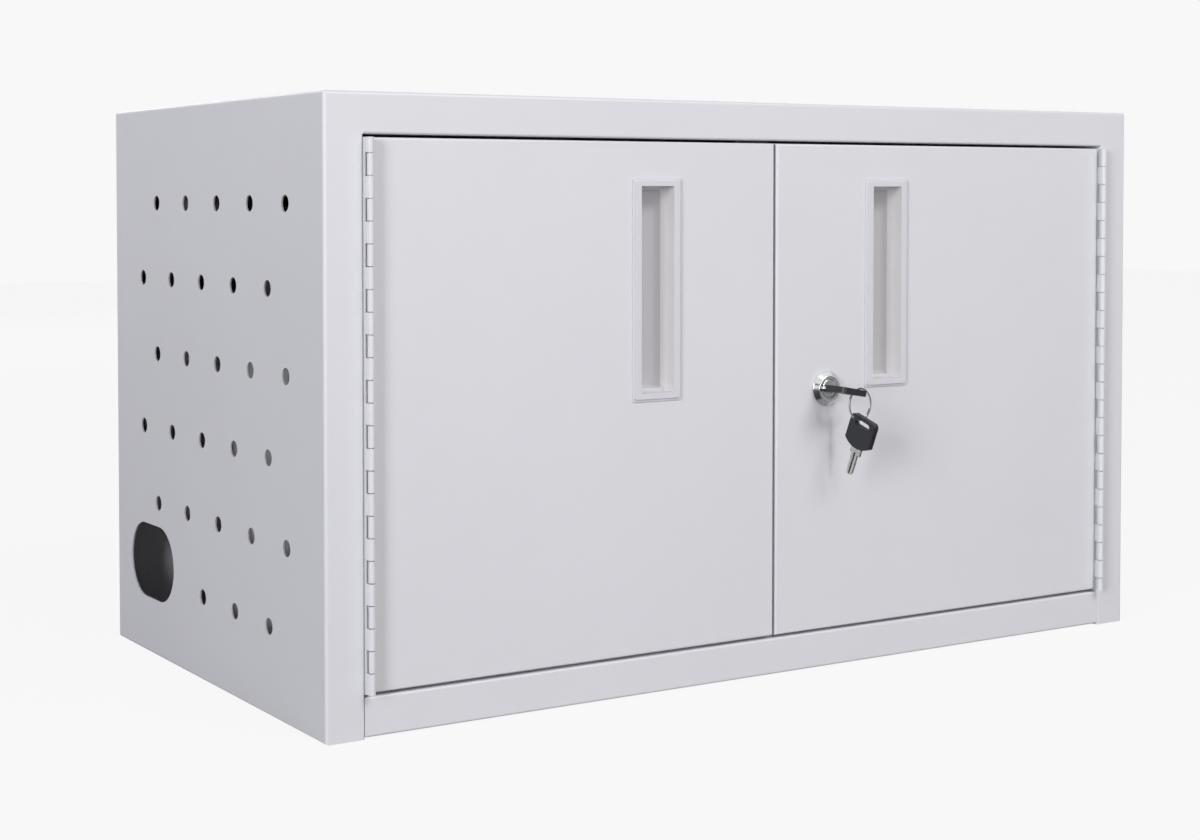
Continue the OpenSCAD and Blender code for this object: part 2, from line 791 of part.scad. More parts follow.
module key_blade_shape() {
    difference() {
        union() {
            key_root();
            block(-blade_w / 2, blade_w / 2, -shoulder_len, blade_len - 1.5, -blade_t / 2,
                blade_t / 2);
            translate([0, blade_len - 1.5, -blade_t / 2]) linear_extrude(blade_t)
                polygon([[-blade_w / 2, 0], [blade_w / 2, 0], [blade_w / 4, 1.5],
                    [-blade_w / 4, 1.5]]);
            block(-blade_w / 2 - shoulder_out, blade_w / 2 + shoulder_out, -shoulder_len, 0,
                -blade_t / 2, blade_t / 2);
        }
        for (s = [0, 1]) mirror([0, 0, s])
            block(-0.6, 0.6, -1.5, blade_len + cut, blade_t / 2 - 0.5, blade_t / 2 + cut);
    }
}

module key_bow_shape() {
    far = -shoulder_len - bow_len;
    difference() {
        translate([0, 0, -bow_t / 2]) linear_extrude(bow_t) difference() {
            intersection() {
                translate([0, far + bow_len / 2 + 2]) rounded(bow_w, bow_len + 4, bow_corner_r);
                translate([0, -shoulder_len - bow_chin_r]) circle(bow_chin_r, $fn = 96);
                translate([0, far / 2]) square([2 * bow_w, -far], center = true);
            }
            translate([0, -plug_to_slot]) obround(bow_slot_w, bow_slot_h);
        }
        key_root();
    }
}

module at_inserted_key() at_lock() translate([0, plug_front, 0]) rotate([0, key_roll, 0])
    children();

module key_blade() color(zinc) at_inserted_key() key_blade_shape();

module key_bow() color(black) at_inserted_key() key_bow_shape();

module at_ring() at_lock() translate([0, plug_front - plug_to_slot, 0] + ring_shift) children();

module key_ring() color(chrome) at_ring() rotate([0, 0, ring_yaw]) rotate([90, 0, 0])
    rotate_extrude($fn = 96) translate([ring_in_r, -ring_band / 2]) square([ring_t, ring_band]);

// The spare key hangs across the ring by the rear end of its slot, so that it leans
module at_spare_key() at_ring() translate([0, 0, -ring_in_r - ring_t / 2])
    rotate([0, 0, spare_yaw]) rotate([0, spare_tilt, 0])
    translate([spare_slot_shift, 0, spare_hang]) rotate([-90, 0, 0])
    translate([0, shoulder_len + bow_len, 0]) children();

module spare_key_blade() color(zinc) at_spare_key() key_blade_shape();

module spare_key_bow() color(black) at_spare_key() key_bow_shape();

// Left door's slide bolts, drawn as the upper one

module mirrored_low(low) {
    translate([0, 0, low ? 2 * open_mid : 0]) mirror([0, 0, low ? 1 : 0]) children();
}

module slide_bolt() {
    bolt_section(0, bolt_end - bolt_len, bolt_end);
    block(bolt_x - bolt_w / 2, bolt_x + bolt_w / 2, bolt_front + bolt_t - 0.5,
        bolt_front + bolt_t + bolt_tab_out, bolt_end - bolt_tab_drop - bolt_tab_h,
        bolt_end - bolt_tab_drop - bolt_tab_h + 2);
}

module upper_slide_bolt() color(zinc) place_at_front() slide_bolt();

module lower_slide_bolt() color(zinc) place_at_front() mirrored_low(true) slide_bolt();

module slide_bolt_guides() color(zinc) place_at_front() {
    for (low = [false, true], drop = guide_drops) mirrored_low(low) difference() {
        block(bolt_x - bolt_w / 2 - 5, bolt_x + bolt_w / 2 + 5, sheet,
            bolt_front + bolt_t + 2.2, bolt_end - drop - guide_h, bolt_end - drop);
        bolt_section(bolt_gap, bolt_end - drop - guide_h - cut, bolt_end - drop + cut);
    }
}

// Tablet rack

function divider_x(k) = -rack_w / 2 + k * bay_pitch;

function tab_y(i) = divider_front + divider_tab_inset
    + i * (divider_d - 2 * divider_tab_inset - divider_tab);

module rack_tray() color(steel_grey) place_at_front() difference() {
    union() {
        block(-rack_w / 2 - 2, rack_w / 2 + 2, tray_front, tray_back, tray_top - sheet, tray_top);
        for (y = [tray_front, tray_back - sheet])
            block(-rack_w / 2 - 2, rack_w / 2 + 2, y, y + sheet, floor_top, tray_top);
    }
    for (k = [0:bays], i = [0, 1])
        block(divider_x(k) - divider_t / 2 - divider_tab_gap,
            divider_x(k) + divider_t / 2 + divider_tab_gap,
            tab_y(i) - divider_tab_gap, tab_y(i) + divider_tab + divider_tab_gap,
            tray_top - sheet - cut, tray_top + cut);
}

module tablet_dividers() color("#c9cacd") place_at_front() {
    for (k = [0:bays]) along_x(divider_x(k) - divider_t / 2, divider_x(k) + divider_t / 2) {
        translate([divider_front, tray_top]) difference() {
            square([divider_d, divider_h]);
            translate([0, divider_h]) mirror([0, 1]) fold_waste(divider_r);
            translate([divider_d, divider_h]) mirror([1, 0]) mirror([0, 1])
                fold_waste(divider_r / 4);
        }
        for (i = [0, 1]) translate([tab_y(i), tray_top - sheet - 1.5])
            square([divider_tab, sheet + 2]);
    }
}

// Partition and its fixings

module partition_panel() color(steel_grey) place_at_front() difference() {
    block(-wall_x + 0.5, wall_x - 0.5, partition_y, partition_y + sheet, floor_top, roof_z - 2);
    for (k = [0:slot_count - 1])
        translate([(k - (slot_count - 1) / 2) * slot_pitch, 0, slot_z])
            along_y(partition_y - cut, partition_y + sheet + cut) obround(slot_w, slot_h);
    for (sx = [-1, 1], z = partition_screw_z)
        y_cyl(2.1, partition_y - cut, partition_y + sheet + cut, sx * partition_screw_x, z);
}

module partition_brackets() color(steel_grey) place_at_front() {
    y0 = partition_y + sheet;
    for (s = [0, 1]) mirror([s, 0, 0]) difference() {
        union() {
            block(-wall_x, -wall_x + bracket_front_leg, y0, y0 + bracket_t, bracket_foot_z,
                roof_z - bracket_top_gap);
            block(-wall_x, -wall_x + bracket_t, y0, y0 + bracket_wall_leg, bracket_foot_z,
                roof_z - bracket_top_gap);
        }
        for (z = partition_screw_z)
            y_cyl(2.05, y0 - cut, y0 + bracket_t + cut, -partition_screw_x, z);
    }
}

module partition_screws() color(zinc) place_at_front() {
    for (sx = [-1, 1], z = partition_screw_z) {
        y_cyl(3.8, partition_y - 2.2, partition_y, sx * partition_screw_x, z);
        y_cyl(1.95, partition_y, partition_y + 7, sx * partition_screw_x, z);
    }
}

module cable_slot_grommets() color(black) place_at_front() {
    for (k = [0:slot_count - 1])
        translate([(k - (slot_count - 1) / 2) * slot_pitch, partition_y, slot_z]) difference() {
            union() {
                along_y(-1.5, 0) obround(slot_w + 8, slot_h + 8);
                along_y(-0.5, sheet + 2.5) obround(slot_w - 0.4, slot_h - 0.4);
            }
            along_y(-1.5 - cut, sheet + 2.5 + cut)
                obround(slot_w - 2 * grommet_t, slot_h - 2 * grommet_t);
        }
}

// Power strip

function outlet_x(k) = first_outlet + k * outlet_pitch;

module at_strip() place_at_front() translate([0, 0, strip_z]) children();

module strip_housing() color("#cfd0d2") at_strip() difference() {
    block(-strip_len / 2, strip_len / 2, strip_front, strip_back, -strip_h / 2, strip_h / 2);
    block(-strip_len / 2 - cut, strip_len / 2 + cut, strip_front + strip_wall,
        strip_back - strip_wall, strip_wall - strip_h / 2, strip_h / 2 - strip_wall);
    for (k = [0:outlets - 1])
        translate([outlet_x(k), strip_front + strip_wall / 2, 0])
            cube([outlet_w + 0.4, strip_wall + 2 * cut, outlet_w + 0.4], center = true);
    translate([rocker_x, strip_front + strip_wall / 2, 0])
        cube([rocker_w + 3.4, strip_wall + 2 * cut, rocker_h + 3.4], center = true);
    y_cyl(5.2, strip_front - cut, strip_front + strip_wall + cut, breaker_x);
}

module strip_end_cap(s) {
    x0 = strip_len / 2;
    scale_in = strip_wall + 0.2;
    mirror([s, 0, 0]) {
        block(x0, x0 + 2, strip_front, strip_back, -strip_h / 2, strip_h / 2);
        difference() {
            block(x0 - cap_ring, x0 + 0.01, strip_front + scale_in, strip_back - scale_in,
                scale_in - strip_h / 2, strip_h / 2 - scale_in);
            block(x0 - cap_ring - cut, x0, strip_front + scale_in + 1.5, strip_back - scale_in - 1.5,
                scale_in + 1.5 - strip_h / 2, strip_h / 2 - scale_in - 1.5);
        }
    }
}

// Middle of the strip's depth, and the inlet's outer size
strip_mid = (strip_front + strip_back) / 2;
inlet_shell = 1.5;

module strip_end_cap_right() color(black) at_strip() strip_end_cap(0);

module strip_end_cap_left() color(black) at_strip() difference() {
    strip_end_cap(1);
    translate([-strip_len / 2, strip_mid, 0])
        cube([6, inlet_w + 2 * inlet_shell + 0.4, inlet_h + 2 * inlet_shell + 0.4],
            center = true);
}

module mains_inlet() color(black) at_strip() {
    x0 = -strip_len / 2 - 2;
    difference() {
        union() {
            translate([x0, strip_mid, 0]) along_x(0, inlet_d)
                square([inlet_w + 2 * inlet_shell, inlet_h + 2 * inlet_shell], center = true);
            translate([x0, strip_mid, 0]) along_x(-1.5, 0)
                rounded(inlet_w + 2 * inlet_flange, inlet_h + 2 * inlet_flange, 2);
        }
        translate([x0, strip_mid, 0]) along_x(-1.5 - cut, inlet_d - 4)
            square([inlet_w, inlet_h], center = true);
        for (p = inlet_pin_places) translate([x0, strip_mid + p[0], p[1]])
            along_x(0, inlet_d + cut) square([4.2, 2.2], center = true);
    }
}

// The three pins' places across the inlet
inlet_pin_places = [[-7, -2], [0, 2.5], [7, -2]];

module inlet_pins() color(chrome) at_strip() {
    for (p = inlet_pin_places)
        translate([-strip_len / 2 - 2, strip_mid + p[0], p[1]])
            along_x(4.5, inlet_d) square([4, 2], center = true);
}

module strip_outlets() color(black) at_strip() {
    for (k = [0:outlets - 1]) translate([outlet_x(k), strip_front, 0]) difference() {
        union() {
            along_y(-1, 0) rounded(outlet_w + 2 * outlet_rim, outlet_w + 2 * outlet_rim, 1.5);
            along_y(-0.01, outlet_d) square(outlet_w, center = true);
        }
        for (s = [-1, 1]) block(s * 6.3 - 0.9, s * 6.3 + 0.9, -1 - cut,
            outlet_slot_d, -1, 7);
        y_cyl(2.6, -1 - cut, outlet_slot_d, 0, -7);
    }
}

module bus_bars() color("#c98a5b") at_strip() {
    for (z = [-bus_pitch, 0, bus_pitch])
        block(-strip_len / 2 - 2 + inlet_d, outlet_x(outlets - 1) + outlet_w / 2,
            strip_front + outlet_d, strip_front + outlet_d + 1.2, z - 3, z + 3);
}

module rocker_bezel() color(black) at_strip() translate([rocker_x, strip_front, 0])
    difference() {
        union() {
            along_y(-1.2, 0) rounded(rocker_w + 2 * rocker_rim, rocker_h + 2 * rocker_rim, 1.5);
            along_y(-0.01, 12) square([rocker_w + 3, rocker_h + 3], center = true);
        }
        along_y(-1.2 - cut, 11) square([rocker_w + 0.6, rocker_h + 0.6], center = true);
    }

// The rocker tips about a level axis behind its face; at rest its top end is in
rocker_pivot_y = 3;

module rocker_switch() color("#7d1f22") at_strip()
    translate([rocker_x, strip_front + rocker_pivot_y, 0]) {
        rotate([-rocker_tilt, 0, 0]) along_x(-rocker_w / 2, rocker_w / 2) polygon([
            [-3, -rocker_h / 2 + 0.6], [-4.2, -rocker_h / 2 + 0.6], [-3.2, 0],
            [-4.2, rocker_h / 2 - 0.6], [-3, rocker_h / 2 - 0.6], [2, 0]]);
    }

module breaker_collar() color(black) at_strip() translate([breaker_x, strip_front, 0])
    difference() {
        union() {
            y_cyl(collar_r, -2, 0);
            y_cyl(5, -0.01, 14);
        }
        y_cyl(3.3, -2 - cut, 11);
    }

module breaker_button() color("#e8e8ea") at_strip() y_cyl(3, strip_front - 5, strip_front + 7,
    breaker_x);

module strip_brackets() color(zinc) at_strip() {
    for (s = [0, 1]) mirror([s, 0, 0]) difference() {
        block(strip_len / 2 - strip_bracket_in, strip_len / 2 + strip_bracket_out, strip_back,
            back_y, -strip_h / 2, strip_h / 2);
        for (sz = [-1, 1])
            y_cyl(stud_r + 0.2, strip_back - cut, back_y + cut, stud_x, sz * strip_h / 4);
    }
}

module strip_nuts() color(zinc) at_strip() {
    for (sx = [-1, 1], sz = [-1, 1])
        translate([sx * stud_x, 0, sz * strip_h / 4]) along_y(strip_back - 3.2, strip_back)
            difference() {
                circle(d = 7 / cos(30), $fn = 6);
                circle(stud_r + 0.05);
            }
}

outer_wrap();
bottom_rail();
back_panel();
door_stop();
door_bumpers();
left_door();
right_door();
left_pull();
right_pull();
left_hinge_frame_leaf();
left_hinge_door_leaf();
left_hinge_pin();
right_hinge_frame_leaf();
right_hinge_door_leaf();
right_hinge_pin();
lock_body();
lock_nut();
lock_plug();
lock_cam();
cam_screw();
upper_latch_rod();
lower_latch_rod();
latch_rod_guides();
key_blade();
key_bow();
key_ring();
spare_key_blade();
spare_key_bow();
upper_slide_bolt();
lower_slide_bolt();
slide_bolt_guides();
rack_tray();
tablet_dividers();
partition_panel();
partition_brackets();
partition_screws();
cable_slot_grommets();
strip_housing();
strip_end_cap_left();
strip_end_cap_right();
strip_outlets();
bus_bars();
mains_inlet();
inlet_pins();
rocker_bezel();
rocker_switch();
breaker_collar();
breaker_button();
strip_brackets();
strip_nuts();
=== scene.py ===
"""Looks for a tablet charging box: powder-coated sheet steel, chrome lock, moulded key grips."""

import json
import math

import bmesh
import bpy
from mathutils import Matrix, Vector


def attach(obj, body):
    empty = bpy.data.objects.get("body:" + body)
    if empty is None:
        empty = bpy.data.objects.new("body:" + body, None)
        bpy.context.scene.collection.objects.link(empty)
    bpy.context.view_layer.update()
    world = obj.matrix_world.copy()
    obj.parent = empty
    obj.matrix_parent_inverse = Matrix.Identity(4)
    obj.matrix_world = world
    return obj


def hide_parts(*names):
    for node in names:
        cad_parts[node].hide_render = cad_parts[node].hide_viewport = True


bl_info = {
    "name": "Tablet Charging Box",
    "version": (1, 0, 0),
    "blender": (4, 5, 0),
    "location": "3D View > Sidebar > Charging Box",
    "description": "Dresses the charging box's frame with its finishes, keys, lock and pulls",
    "category": "Object",
}

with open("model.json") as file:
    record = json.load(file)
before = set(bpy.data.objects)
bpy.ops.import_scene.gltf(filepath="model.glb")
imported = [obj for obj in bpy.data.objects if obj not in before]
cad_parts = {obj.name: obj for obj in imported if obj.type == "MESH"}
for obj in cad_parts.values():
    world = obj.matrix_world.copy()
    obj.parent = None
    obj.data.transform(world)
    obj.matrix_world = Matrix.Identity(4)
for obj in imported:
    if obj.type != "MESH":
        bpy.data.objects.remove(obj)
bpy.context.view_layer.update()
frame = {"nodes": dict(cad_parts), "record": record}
MM = 0.001

# Edges that turn by more than this are cut edges, and the rest belong to curved faces
CUT_EDGE = math.radians(40)
# Triangles that turn by less than this against each other are one flat face
ONE_FACE = math.radians(0.4)
# Points nearer than this are one point
SAME_POINT = 0.002 * MM
# Rounding of the lock's turned edges, and of the hinges' stamped ones
TURNED_EDGE = 0.35 * MM
HINGE_EDGE = 0.15 * MM
# Behind a pull's frame, faces with their centre deeper than this are the cup's, coloured as
# painted shade on its back and painted light on its walls
CUP_STARTS = 2.5 * MM
# The y of a face's normal: below the first it looks to the front, above the second to the rear
LOOKS_FRONT = -0.7
LOOKS_REAR = 0.1
# A face lies flat on a blade when its normal's part across the blade is more than this
LIES_FLAT = 0.99
# A flat face nearer a blade's middle than this share of its half thickness floors a groove, and is
# coloured dark as painted shade
GROOVE_SHARE = 0.7
# How deep the groove between the key ring's two turns is cut
RING_GROOVE = 0.12 * MM
# Across the key ring, as shares of its half width: where a turn's inner and outer edges meet
# the groove, and where its rounded corners start
INNER_LIP, OUTER_LIP, CORNER = 0.05, 0.1, 0.85
# Each rolled ring of the lock: inwards from its edge, how deep its middle lies, thickness
RIM_RING = (0.2 * MM, 0.15 * MM, 0.35 * MM)
PLUG_RING = (0.8 * MM, 0.05 * MM, 0.22 * MM)
# Points this near to the furthest one belong to a node's front
FRONT_DEPTH = 0.01 * MM
# Steps round the key ring and the lock's rings, and sides of the section of the latter
RING_STEPS, BEAD_STEPS, BEAD_SIDES = 96, 72, 8
# An axis with more than this along x counts as lying along it
ALONG_X = 0.9
# Noise seldom leaves this range, so a pattern's two ends are put here
NOISE_LOW, NOISE_HIGH = 0.3, 0.7
# The pulls' orange peel, as a share of the sheet metal's
PULL_PEEL = 0.6

# The stage's greys: what the camera sees, what the floor gives back, and what fills shadows
BACKDROP, BOUNCE, FILL = "f8f8f8", "a2a2a2", "f6f6fa"
FILL_STRENGTH = 0.23
# Half the floor's side in metres, its share of the shadows, and its glow against its colour
FLOOR_HALF, FLOOR_SHADOW, FLOOR_GLOW = 6.0, 0.1, 1.075
# Each lamp's place, target, width and height in metres, power in watts, and colour
LAMPS = {
    "key_softbox": ((0.36, -2.94, 0.88), (0, -0.16, 0.18), 0.5, 0.5, 15.8, "fffefc"),
    "top_softbox": ((0.5, -2.3, 2.4), (0, -0.16, 0.25), 1.6, 1.0, 44.0, "ffffff"),
    "left_softbox": ((-4.3, -2.25, 1.2), (-0.1, -0.1, 0.22), 1.2, 2.0, 132.0, "fcfdff"),
    "rear_softbox": ((0.4, 3.6, 1.6), (0, 0.16, 0.2), 1.6, 1.6, 26.0, "ffffff"),
}
# Each dark card's place, target, width and height in metres
CARDS = {
    "card_low": ((-0.1, -0.72, 0.004), (-0.1, -0.72, 1.0), 1.5, 0.9),
    "card_beside_camera": ((-0.86, -1.27, 0.66), (0.04, -0.16, 0.18), 0.5, 0.22),
    "card_right": ((1.2, -1.0, 0.5), (0.04, -0.16, 0.18), 0.5, 1.2),
}
# The camera, solved from the photograph: lens in millimetres, shifts as shares of the frame's
# width, place in metres, and its turns in radians to the left, upwards and about its own axis
LENS = 59.291
SHIFT_X, SHIFT_Y = 0.10793, -0.13002
EYE = (-0.80518, -1.14912, 0.30554)
HEADING, TILT, ROLL = -0.531301, -0.032617, -0.001998


def linear(code):
    """An sRGB hex colour as linear RGBA."""
    channels = [int(code[i : i + 2], 16) / 255 for i in (0, 2, 4)]
    return tuple(
        c / 12.92 if c <= 0.04045 else ((c + 0.055) / 1.055) ** 2.4 for c in channels
    ) + (1.0,)


def colour_property(name, description, code):
    """A colour that the user can change, from its sRGB hex value."""
    return bpy.props.FloatVectorProperty(
        name=name, description=description, subtype="COLOR", size=4, min=0, max=1,
        default=linear(code),
    )


class BoxFinishes(bpy.types.PropertyGroup):
    """Colours of the box's finishes"""

    paint: colour_property("Powder coat", "Light grey of the case and doors", "d8d8dd")
    pull_paint: colour_property("Pull", "Light grey of the moulded pulls", "d3d2d8")
    # The cup's back colour is painted shade, darker than the pull's paint; the cup wall colour is
    # painted light, lighter than it
    painted_shade_cup_back: colour_property("Cup back", "Thinly coated back of a pull's cup", "c0bec3")
    painted_light_cup_wall: colour_property("Cup wall", "Coated side walls of a pull's cup", "d9d7d8")
    key_plastic: colour_property("Key grip", "Black of the moulded key grips", "222327")
    rubber: colour_property("Rubber", "Black of the bumpers and slot edgings", "1b1b1d")
    strip_metal: colour_property("Strip housing", "Grey of the strip's housing", "b9babd")
    strip_plastic: colour_property("Strip plastic", "Black of the strip's fittings", "26262a")
    rocker_plastic: colour_property("Rocker", "Dark red of the rocker switch", "8a1d22")
    button_plastic: colour_property("Breaker button", "Off-white of the button", "e4e3df")
    peel_size: bpy.props.FloatProperty(
        name="Orange peel", description="Distance between two ripples of the powder coat",
        default=2.2 * MM, min=0.5 * MM, max=6 * MM, unit="LENGTH",
    )


class BoxSizes(bpy.types.PropertyGroup):
    """Sizes of the pieces that are modelled here"""

    edge: bpy.props.FloatProperty(
        name="Soft edge", description="Rounding of a painted or plated cut edge",
        default=0.2 * MM, min=0.05 * MM, max=0.4 * MM, unit="LENGTH",
    )
    moulded_edge: bpy.props.FloatProperty(
        name="Moulded edge", description="Rounding of a small plastic piece's edge",
        default=0.3 * MM, min=0.1 * MM, max=0.4 * MM, unit="LENGTH",
    )
    grip_edge: bpy.props.FloatProperty(
        name="Key grip edge", description="Rounding along the outline of a key's grip",
        default=0.6 * MM, min=0.2 * MM, max=1.0 * MM, unit="LENGTH",
    )
    pull_edge: bpy.props.FloatProperty(
        name="Pull edge", description="Rounding of the edges of a pull's frame and cup",
        default=0.45 * MM, min=0.1 * MM, max=0.6 * MM, unit="LENGTH",
    )


def add(tree, kind, values=None, **settings):
    """Adds a shader node, with its settings, and links or sets its inputs."""
    made = tree.nodes.new(kind)
    for name, value in settings.items():
        setattr(made, name, value)
    for name, value in (values or {}).items():
        if isinstance(value, bpy.types.NodeSocket):
            tree.links.new(value, made.inputs[name])
        else:
            made.inputs[name].default_value = value
    return made


def new_finish(name, **inputs):
    """A material with a principled shader set as given, its tree and Object coordinates."""
    finish = bpy.data.materials.new(name)
    finish.use_nodes = True
    tree = finish.node_tree
    shader = tree.nodes["Principled BSDF"]
    for socket, value in inputs.items():
        shader.inputs[socket].default_value = value
    place = add(tree, "ShaderNodeTexCoord").outputs["Object"]
    return finish, tree, shader, place


def varied_colour(tree, shader, place, colour, size, spread):
    """Drives the base colour with patches of a size, a small spread darker and lighter."""
    noise = add(tree, "ShaderNodeTexNoise", {
        "Vector": place, "Scale": 1 / size, "Detail": 3.0})
    ramp = add(tree, "ShaderNodeValToRGB", {"Fac": noise.outputs["Fac"]})
    low = [c * (1 - spread) for c in colour[:3]] + [1.0]
    high = [min(1.0, c * (1 + spread)) for c in colour[:3]] + [1.0]
    ramp.color_ramp.elements[0].position = NOISE_LOW
    ramp.color_ramp.elements[0].color = low
    ramp.color_ramp.elements[1].position = NOISE_HIGH
    ramp.color_ramp.elements[1].color = high
    tree.links.new(ramp.outputs["Color"], shader.inputs["Base Color"])


def varied_roughness(tree, shader, place, low, high, size):
    """Drives the roughness between two values, in patches of a size."""
    noise = add(tree, "ShaderNodeTexNoise", {
        "Vector": place, "Scale": 1 / size, "Detail": 4.0})
    level = add(tree, "ShaderNodeMapRange", {
        "Value": noise.outputs["Fac"], "From Min": NOISE_LOW, "From Max": NOISE_HIGH,
        "To Min": low, "To Max": high})
    tree.links.new(level.outputs["Result"], shader.inputs["Roughness"])


def noise_bump(tree, shader, place, size, depth, detail=2.0):
    """A fine relief, with the real width and height of its ripples."""
    noise = add(tree, "ShaderNodeTexNoise", {
        "Vector": place, "Scale": 1 / size, "Detail": detail, "Roughness": 0.5})
    bump = add(tree, "ShaderNodeBump", {
        "Height": noise.outputs["Fac"], "Strength": 1.0, "Distance": depth})
    tree.links.new(bump.outputs["Normal"], shader.inputs["Normal"])


def powder_coat(name, colour, peel, roughness):
    """Polyester powder baked on steel: satin, with a faint orange peel that softens highlights."""
    finish, tree, shader, place = new_finish(name, IOR=1.5)
    varied_colour(tree, shader, place, colour, size=111 * MM, spread=0.012)
    varied_roughness(tree, shader, place, roughness - 0.03, roughness + 0.03, size=16.7 * MM)
    # The third level of detail lays a finer grain on the peel
    noise_bump(tree, shader, place, size=peel, depth=0.018 * MM, detail=3.0)
    return finish


def moulded_plastic(name, colour, roughness):
    """Injection-moulded ABS or the like: a fine spark-eroded grain keeps it from shining."""
    finish, tree, shader, place = new_finish(name, IOR=1.46)
    varied_colour(tree, shader, place, colour, size=25 * MM, spread=0.06)
    varied_roughness(tree, shader, place, roughness - 0.05, roughness + 0.05, size=5.56 * MM)
    noise_bump(tree, shader, place, size=0.6 * MM, depth=0.01 * MM)
    return finish


def black_rubber(name, colour):
    """Vulcanised EPDM rubber: dull, slightly greyed by handling."""
    finish, tree, shader, place = new_finish(name, IOR=1.52)
    varied_colour(tree, shader, place, colour, size=18.2 * MM, spread=0.15)
    varied_roughness(tree, shader, place, 0.72, 0.86, size=7.14 * MM)
    noise_bump(tree, shader, place, size=0.714 * MM, depth=0.01 * MM)
    return finish


def groove_floor_painted_shade(name):
    """The floor of a key's groove, cut by a milling cutter: nickel over cutter marks, dull, its
    dark colour painted shade.
    """
    finish, tree, shader, place = new_finish(name, Metallic=1.0)
    varied_colour(tree, shader, place, linear("4a4a4c"), size=3.33 * MM, spread=0.1)
    varied_roughness(tree, shader, place, 0.45, 0.6, size=1.67 * MM)
    noise_bump(tree, shader, place, size=0.556 * MM, depth=0.004 * MM)
    return finish


def zinc_plate(name):
    """Bright zinc plate on steel: bluish grey with cloudy crystals and faint drawing lines."""
    finish, tree, shader, place = new_finish(name, Metallic=1.0)
    varied_colour(tree, shader, place, linear("c3c6cb"), size=8.33 * MM, spread=0.06)
    varied_roughness(tree, shader, place, 0.26, 0.38, size=3.85 * MM)
    noise_bump(tree, shader, place, size=1.11 * MM, depth=0.004 * MM)
    return finish


def nickel_key(name):
    """Nickel-plated brass, stamped and tumbled: soft bright metal with tiny handling marks."""
    finish, tree, shader, place = new_finish(name, Metallic=1.0)
    varied_colour(tree, shader, place, linear("c9c8c4"), size=5 * MM, spread=0.07)
    varied_roughness(tree, shader, place, 0.22, 0.34, size=2.38 * MM)
    noise_bump(tree, shader, place, size=0.667 * MM, depth=0.003 * MM)
    return finish


def polished_chrome(name):
    """Chrome over a die casting: near-mirror, with a breath of haze from polishing."""
    finish, tree, shader, place = new_finish(name, Metallic=1.0)
    varied_colour(tree, shader, place, linear("dcdddf"), size=6.67 * MM, spread=0.03)
    varied_roughness(tree, shader, place, 0.1, 0.17, size=3.33 * MM)
    noise_bump(tree, shader, place, size=1.43 * MM, depth=0.003 * MM)
    return finish


def bare_steel(name):
    """Drawn steel wire for the hinge pins: dark, with lines along its length."""
    finish, tree, shader, place = new_finish(name, Metallic=1.0)
    drawn = add(tree, "ShaderNodeMapping", {"Vector": place, "Scale": (1.0, 1.0, 0.05)})
    along = drawn.outputs["Vector"]
    varied_colour(tree, shader, along, linear("9c9ea3"), size=1.11 * MM, spread=0.1)
    varied_roughness(tree, shader, along, 0.3, 0.42, size=1.11 * MM)
    noise_bump(tree, shader, along, size=0.667 * MM, depth=0.003 * MM)
    return finish


def copper_strip(name):
    """Rolled copper bus strip: warm, lightly tarnished along its length."""
    finish, tree, shader, place = new_finish(name, Metallic=1.0)
    rolled = add(tree, "ShaderNodeMapping", {"Vector": place, "Scale": (0.1, 1.0, 1.0)})
    along = rolled.outputs["Vector"]
    varied_colour(tree, shader, along, linear("c98a5b"), size=3.33 * MM, spread=0.12)
    varied_roughness(tree, shader, along, 0.28, 0.42, size=2 * MM)
    noise_bump(tree, shader, along, size=1.11 * MM, depth=0.004 * MM)
    return finish


def make_finishes():
    """All the finishes, by the names that the pieces use."""
    shades = bpy.context.scene.box_finishes
    peel = shades.peel_size
    return {
        "paint": powder_coat("powder_coat_steel", shades.paint, peel, 0.42),
        "pull_paint": powder_coat("powder_coat_pull", shades.pull_paint, peel * PULL_PEEL, 0.4),
        # The pull's powder coat in two shades for its cup: darkened on the back as painted shade,
        # lightened on the walls as painted light
        "painted_shade_cup_back": powder_coat("powder_coat_painted_shade_cup_back", shades.painted_shade_cup_back, peel, 0.5),
        "painted_light_cup_wall": powder_coat("powder_coat_painted_light_cup_wall", shades.painted_light_cup_wall, peel, 0.5),
        "zinc": zinc_plate("zinc_plated_steel"),
        "nickel": nickel_key("nickel_plated_brass"),
        # The groove floors' dark nickel colour is painted shade
        "shaded_groove": groove_floor_painted_shade("key_groove_painted_shade"),
        "chrome": polished_chrome("polished_chrome"),
        "steel": bare_steel("drawn_steel_pin"),
        "key_grip": moulded_plastic("key_grip_abs", shades.key_plastic, 0.42),
        "rubber": black_rubber("black_epdm_rubber", shades.rubber),
        "housing": powder_coat("strip_housing_paint", shades.strip_metal, peel, 0.36),
        "strip_black": moulded_plastic("strip_black_abs", shades.strip_plastic, 0.5),
        "red": moulded_plastic("rocker_red_polycarbonate", shades.rocker_plastic, 0.25),
        "white": moulded_plastic("button_white_nylon", shades.button_plastic, 0.4),
        "copper": copper_strip("rolled_copper_strip"),
    }


def finish_named(key):
    """A finish, made once for the whole scene."""
    if key not in FINISHES:
        FINISHES.update(make_finishes())
    return FINISHES[key]


# The finishes made so far, by the names that the pieces use
FINISHES = {}

